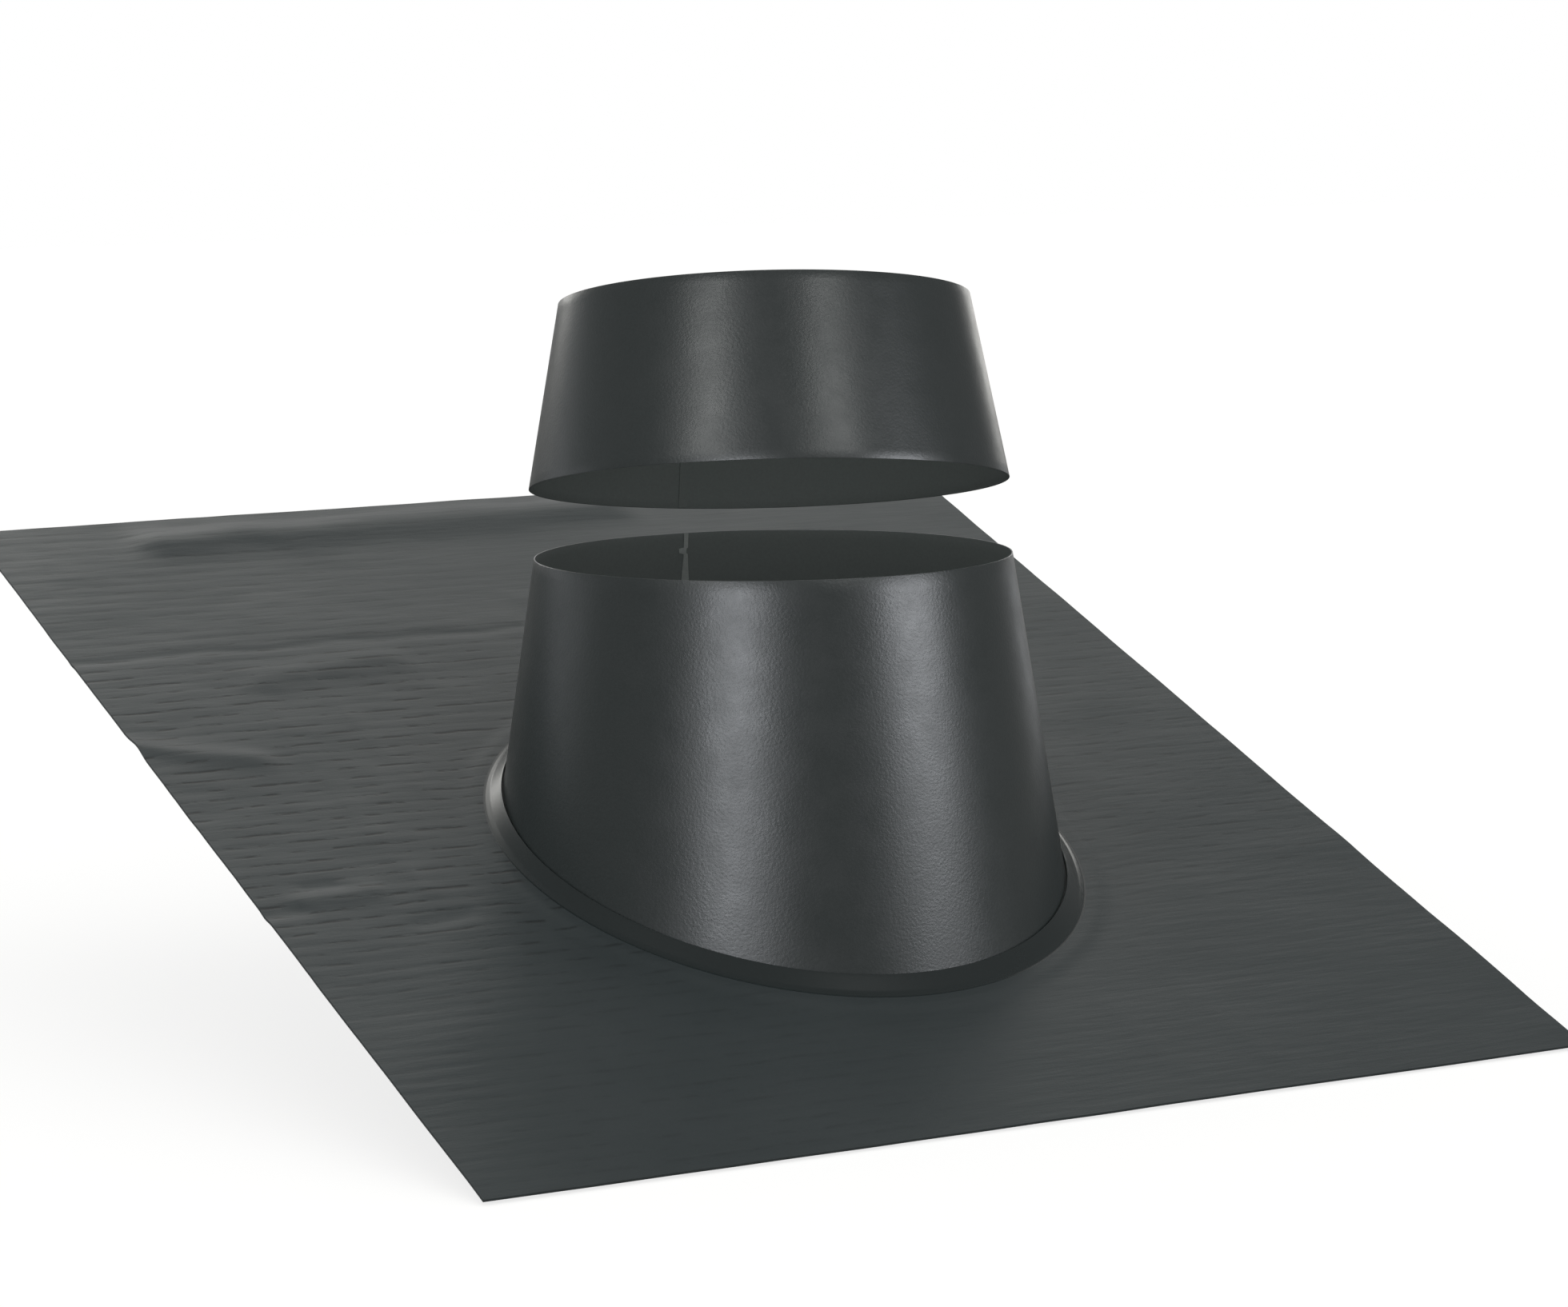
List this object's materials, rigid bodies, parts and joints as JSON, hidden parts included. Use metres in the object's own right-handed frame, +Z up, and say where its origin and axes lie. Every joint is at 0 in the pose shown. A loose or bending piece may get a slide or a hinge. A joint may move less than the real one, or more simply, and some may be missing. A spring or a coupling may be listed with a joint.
{
  "type": "pipe flashing boot",
  "caption": "Roof flashing for a round flue: a flexible ribbed apron, a sloped black steel cone standing on it, and a loose storm collar lifted off the cone.",
  "frame": {"origin": "where the flue's vertical axis meets the underside of the apron", "axes": "+Z up the flue's axis; +Y level, pointing up the roof; +X level, across the roof. The apron lies on a roof of 20 degrees, in the plane z = y tan 20 deg"},
  "size_m": [0.72, 0.7824, 0.4661],
  "materials": {
    "apron_sheet": "matt, finely ribbed flexible sheet",
    "cone_steel": "satin black powder coat",
    "sealant": "dull butyl",
    "collar_steel": "satin black powder coat"
  },
  "bodies": {
    "root": {"apron": "apron_sheet", "cone": "cone_steel", "sealing_bead": "sealant", "storm_collar": "collar_steel"}
  },
  "joints": []
}
